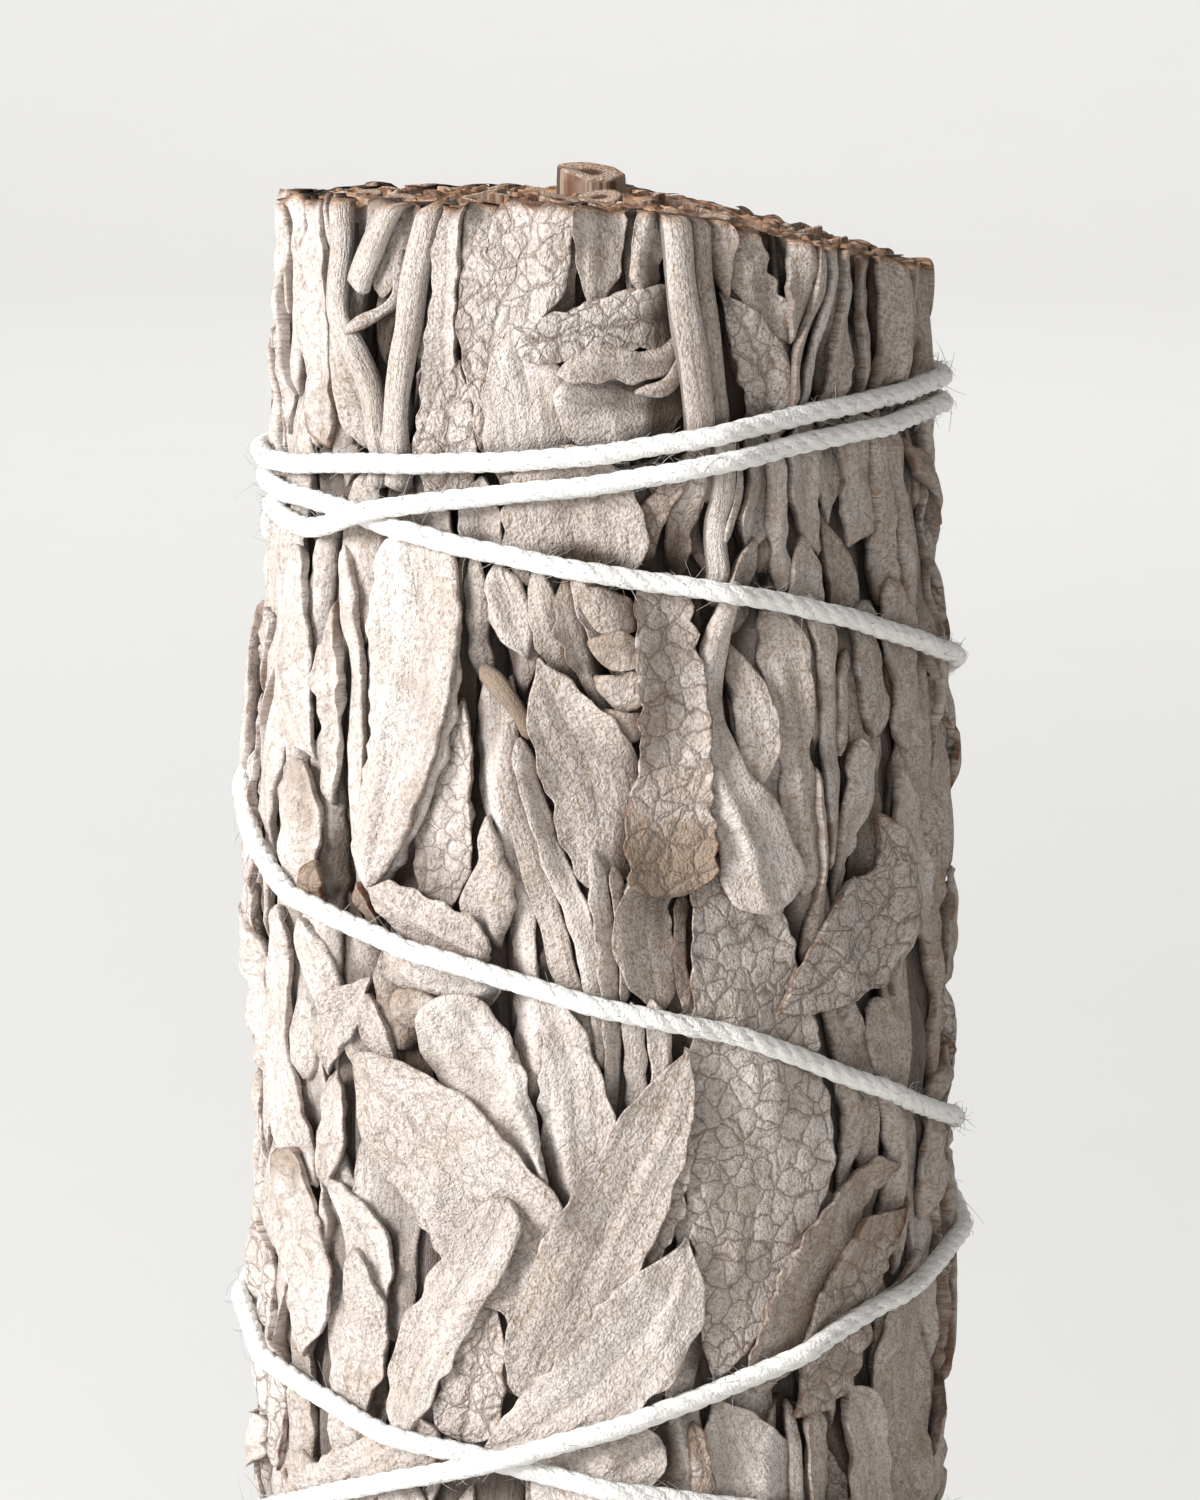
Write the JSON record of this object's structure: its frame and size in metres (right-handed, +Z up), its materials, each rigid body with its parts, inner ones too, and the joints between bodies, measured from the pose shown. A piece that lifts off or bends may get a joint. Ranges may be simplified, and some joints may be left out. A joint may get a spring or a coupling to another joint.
{
  "type": "sage bunch",
  "caption": "Bunch of dried white sage, sawn flat at both ends, wound with cotton string and standing upright.",
  "frame": {"origin": "on the bunch's axis, at the middle of the sawn foot that it stands on", "axes": "+Z runs up the bunch to its sawn top; the side that the picture shows faces -Y and +X is to its right"},
  "size_m": [0.039, 0.043, 0.1005],
  "materials": {
    "dried_leaf": "matt felted dried leaf, grey-white with fine brown specks",
    "cut_stem": "pressed dried stems with rough brown sawn ends",
    "cotton_string": "soft white twisted cotton with loose fibres"
  },
  "bodies": {
    "root": {"sprig_01": "dried_leaf", "sprig_02": "dried_leaf", "sprig_03": "dried_leaf", "sprig_04": "dried_leaf", "sprig_05": "dried_leaf", "sprig_06": "dried_leaf", "sprig_07": "dried_leaf", "sprig_08": "dried_leaf", "sprig_09": "dried_leaf", "sprig_10": "dried_leaf", "sprig_11": "dried_leaf", "sprig_12": "dried_leaf", "inner_sprig_01": "cut_stem", "inner_sprig_02": "cut_stem", "inner_sprig_03": "cut_stem", "inner_sprig_04": "cut_stem", "inner_sprig_05": "cut_stem", "string": "cotton_string"}
  },
  "joints": []
}
